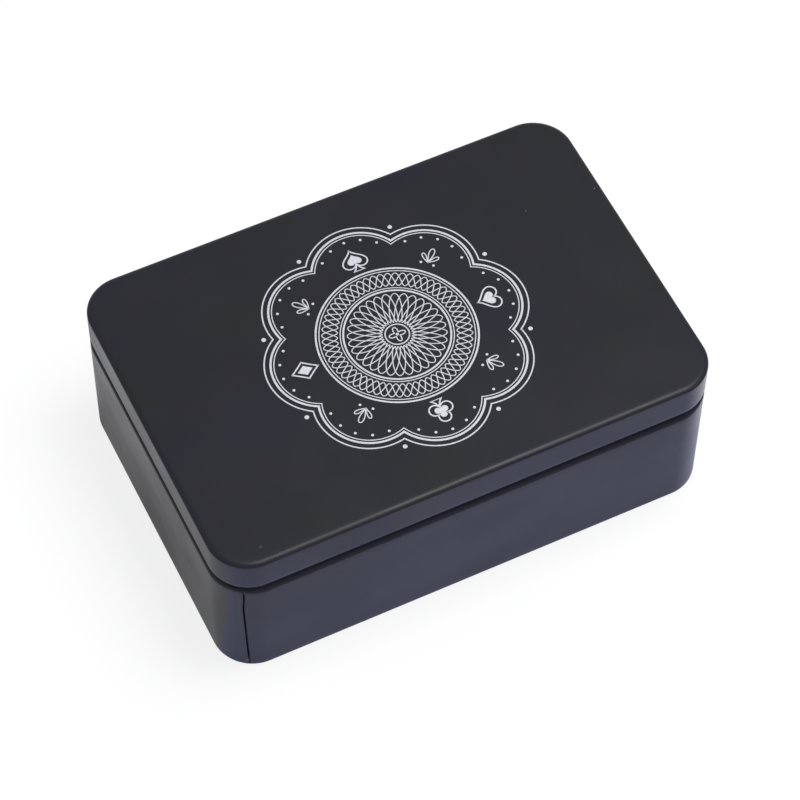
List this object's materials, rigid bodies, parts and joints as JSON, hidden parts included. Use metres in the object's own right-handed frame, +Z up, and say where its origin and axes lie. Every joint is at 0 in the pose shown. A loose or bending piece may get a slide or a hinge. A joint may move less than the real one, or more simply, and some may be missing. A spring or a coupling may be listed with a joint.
{
  "type": "playing card storage box",
  "caption": "Flat rectangular storage tin with rounded corners, a drawn-in neck and a slip lid that lifts straight off.",
  "frame": {"origin": "middle of the rectangle that the tin stands on, level with the underside of the folded bottom edge", "axes": "+X along the length, +Z up, so that the front, one of the long sides, faces -Y"},
  "size_m": [0.115, 0.079, 0.0405],
  "materials": {
    "lid_coating": "matte",
    "wall_coating": "matte",
    "base_coating": "matte",
    "print_silver": "satin"
  },
  "bodies": {
    "tin_body": {"body_wall": "wall_coating", "base_plate": "base_coating"},
    "lid": {"lid_shell": "lid_coating"}
  },
  "joints": [
    {"name": "lid_lift", "type": "slide", "parent": "tin_body", "child": "lid", "axis": [0, 0, 1], "range_m": [0, 0.08]}
  ]
}
